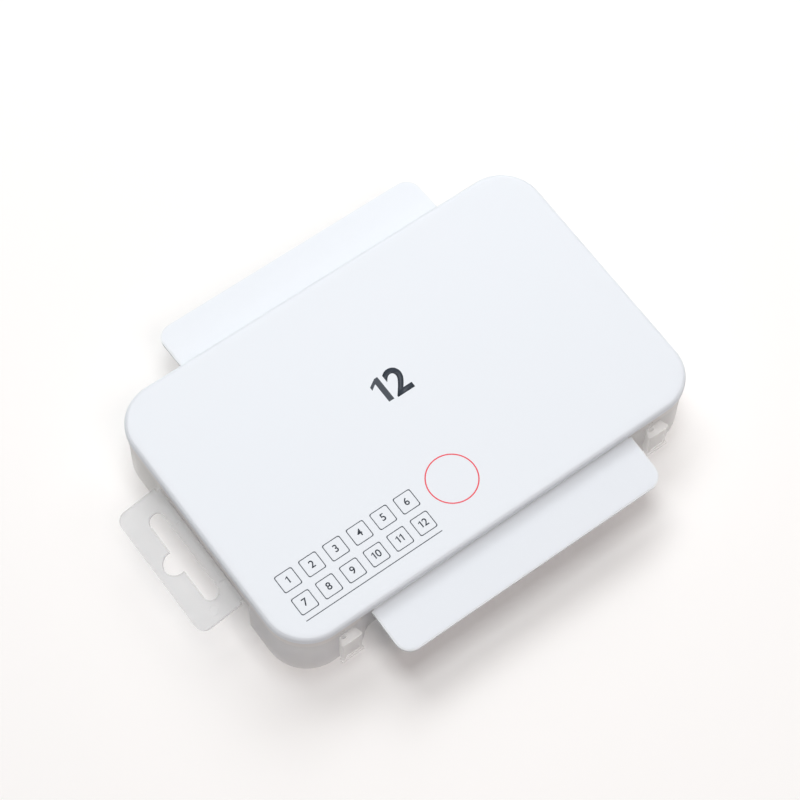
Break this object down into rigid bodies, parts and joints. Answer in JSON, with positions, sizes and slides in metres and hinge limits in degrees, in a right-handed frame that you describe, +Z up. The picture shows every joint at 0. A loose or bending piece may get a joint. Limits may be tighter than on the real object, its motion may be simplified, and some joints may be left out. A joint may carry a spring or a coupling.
{
  "type": "gouache paint set box",
  "caption": "Shallow rounded paint box with a lift-off lid, hinged side latch flaps, a fold-down hang tab, palette clips and sealed paint cups inside.",
  "frame": {"origin": "centre of the base tray's underside, on the surface that the box rests on", "axes": "+Z up through the lid, +X along the long side, away from the hang tab, +Y towards the back flap"},
  "size_m": [0.167, 0.13, 0.025],
  "materials": {
    "frosted_plastic": "frosted clear polypropylene, lightly hazy",
    "clear_plastic": "clear polypropylene, softly polished",
    "milky_plastic": "milky translucent polypropylene, satin",
    "white_film": "cool white moulded-in label film, satin",
    "cup_plastic": "thin translucent cup plastic",
    "seal_film": "thin heat-sealed peel film",
    "paint_01": "thick creamy gouache, titanium white, damp satin",
    "paint_02": "thick creamy gouache, pale lemon, damp satin",
    "paint_03": "thick creamy gouache, warm yellow, damp satin",
    "paint_04": "thick creamy gouache, orange, damp satin",
    "paint_05": "thick creamy gouache, coral red, damp satin",
    "paint_06": "thick creamy gouache, crimson, damp satin",
    "paint_07": "thick creamy gouache, orchid pink, damp satin",
    "paint_08": "thick creamy gouache, violet, damp satin",
    "paint_09": "thick creamy gouache, ultramarine blue, damp satin",
    "paint_10": "thick creamy gouache, leaf green, damp satin",
    "paint_11": "thick creamy gouache, earth brown, damp satin",
    "paint_12": "thick creamy gouache, soft black, damp satin"
  },
  "bodies": {
    "base": {"base_tray": "frosted_plastic"},
    "hang_tab": {"hang_tab": "clear_plastic"},
    "lid": {"lid_shell": "milky_plastic", "lid_label": "white_film"},
    "front_flap": {"front_flap": "milky_plastic", "front_flap_label": "white_film"},
    "back_flap": {"back_flap": "milky_plastic", "back_flap_label": "white_film"},
    "cup_01": {"paint_cup_01": "cup_plastic", "paint_fill_01": "paint_01", "cup_seal_01": "seal_film"},
    "cup_02": {"paint_cup_02": "cup_plastic", "paint_fill_02": "paint_02", "cup_seal_02": "seal_film"},
    "cup_03": {"paint_cup_03": "cup_plastic", "paint_fill_03": "paint_03", "cup_seal_03": "seal_film"},
    "cup_04": {"paint_cup_04": "cup_plastic", "paint_fill_04": "paint_04", "cup_seal_04": "seal_film"},
    "cup_05": {"paint_cup_05": "cup_plastic", "paint_fill_05": "paint_05", "cup_seal_05": "seal_film"},
    "cup_06": {"paint_cup_06": "cup_plastic", "paint_fill_06": "paint_06", "cup_seal_06": "seal_film"},
    "cup_07": {"paint_cup_07": "cup_plastic", "paint_fill_07": "paint_07", "cup_seal_07": "seal_film"},
    "cup_08": {"paint_cup_08": "cup_plastic", "paint_fill_08": "paint_08", "cup_seal_08": "seal_film"},
    "cup_09": {"paint_cup_09": "cup_plastic", "paint_fill_09": "paint_09", "cup_seal_09": "seal_film"},
    "cup_10": {"paint_cup_10": "cup_plastic", "paint_fill_10": "paint_10", "cup_seal_10": "seal_film"},
    "cup_11": {"paint_cup_11": "cup_plastic", "paint_fill_11": "paint_11", "cup_seal_11": "seal_film"},
    "cup_12": {"paint_cup_12": "cup_plastic", "paint_fill_12": "paint_12", "cup_seal_12": "seal_film"}
  },
  "joints": [
    {"name": "lid_lift", "type": "slide", "parent": "base", "child": "lid", "axis": [0, 0, 1], "range_m": [0, 0.09]},
    {"name": "front_flap_fold", "type": "hinge", "parent": "lid", "child": "front_flap", "pos_m": [0, -0.047, 0.0195], "axis": [1, 0, 0], "range_deg": [-30, 85]},
    {"name": "back_flap_fold", "type": "hinge", "parent": "lid", "child": "back_flap", "pos_m": [0, 0.047, 0.0195], "axis": [-1, 0, 0], "range_deg": [-30, 85]},
    {"name": "hang_tab_fold", "type": "hinge", "parent": "base", "child": "hang_tab", "pos_m": [-0.0754, 0, 0.016], "axis": [0, -1, 0], "range_deg": [-14, 76]},
    {"name": "cup_01_lift", "type": "slide", "parent": "base", "child": "cup_01", "axis": [0, 0, 1], "range_m": [0, 0.036]},
    {"name": "cup_02_lift", "type": "slide", "parent": "base", "child": "cup_02", "axis": [0, 0, 1], "range_m": [0, 0.036]},
    {"name": "cup_03_lift", "type": "slide", "parent": "base", "child": "cup_03", "axis": [0, 0, 1], "range_m": [0, 0.036]},
    {"name": "cup_04_lift", "type": "slide", "parent": "base", "child": "cup_04", "axis": [0, 0, 1], "range_m": [0, 0.036]},
    {"name": "cup_05_lift", "type": "slide", "parent": "base", "child": "cup_05", "axis": [0, 0, 1], "range_m": [0, 0.036]},
    {"name": "cup_06_lift", "type": "slide", "parent": "base", "child": "cup_06", "axis": [0, 0, 1], "range_m": [0, 0.036]},
    {"name": "cup_07_lift", "type": "slide", "parent": "base", "child": "cup_07", "axis": [0, 0, 1], "range_m": [0, 0.036]},
    {"name": "cup_08_lift", "type": "slide", "parent": "base", "child": "cup_08", "axis": [0, 0, 1], "range_m": [0, 0.036]},
    {"name": "cup_09_lift", "type": "slide", "parent": "base", "child": "cup_09", "axis": [0, 0, 1], "range_m": [0, 0.036]},
    {"name": "cup_10_lift", "type": "slide", "parent": "base", "child": "cup_10", "axis": [0, 0, 1], "range_m": [0, 0.036]},
    {"name": "cup_11_lift", "type": "slide", "parent": "base", "child": "cup_11", "axis": [0, 0, 1], "range_m": [0, 0.036]},
    {"name": "cup_12_lift", "type": "slide", "parent": "base", "child": "cup_12", "axis": [0, 0, 1], "range_m": [0, 0.036]}
  ],
  "couplings": [
    {"joint": "cup_01_lift", "follows": "lid_lift", "ratio": 0.4},
    {"joint": "cup_02_lift", "follows": "lid_lift", "ratio": 0.4},
    {"joint": "cup_03_lift", "follows": "lid_lift", "ratio": 0.4},
    {"joint": "cup_04_lift", "follows": "lid_lift", "ratio": 0.4},
    {"joint": "cup_05_lift", "follows": "lid_lift", "ratio": 0.4},
    {"joint": "cup_06_lift", "follows": "lid_lift", "ratio": 0.4},
    {"joint": "cup_07_lift", "follows": "lid_lift", "ratio": 0.4},
    {"joint": "cup_08_lift", "follows": "lid_lift", "ratio": 0.4},
    {"joint": "cup_09_lift", "follows": "lid_lift", "ratio": 0.4},
    {"joint": "cup_10_lift", "follows": "lid_lift", "ratio": 0.4},
    {"joint": "cup_11_lift", "follows": "lid_lift", "ratio": 0.4},
    {"joint": "cup_12_lift", "follows": "lid_lift", "ratio": 0.4}
  ]
}
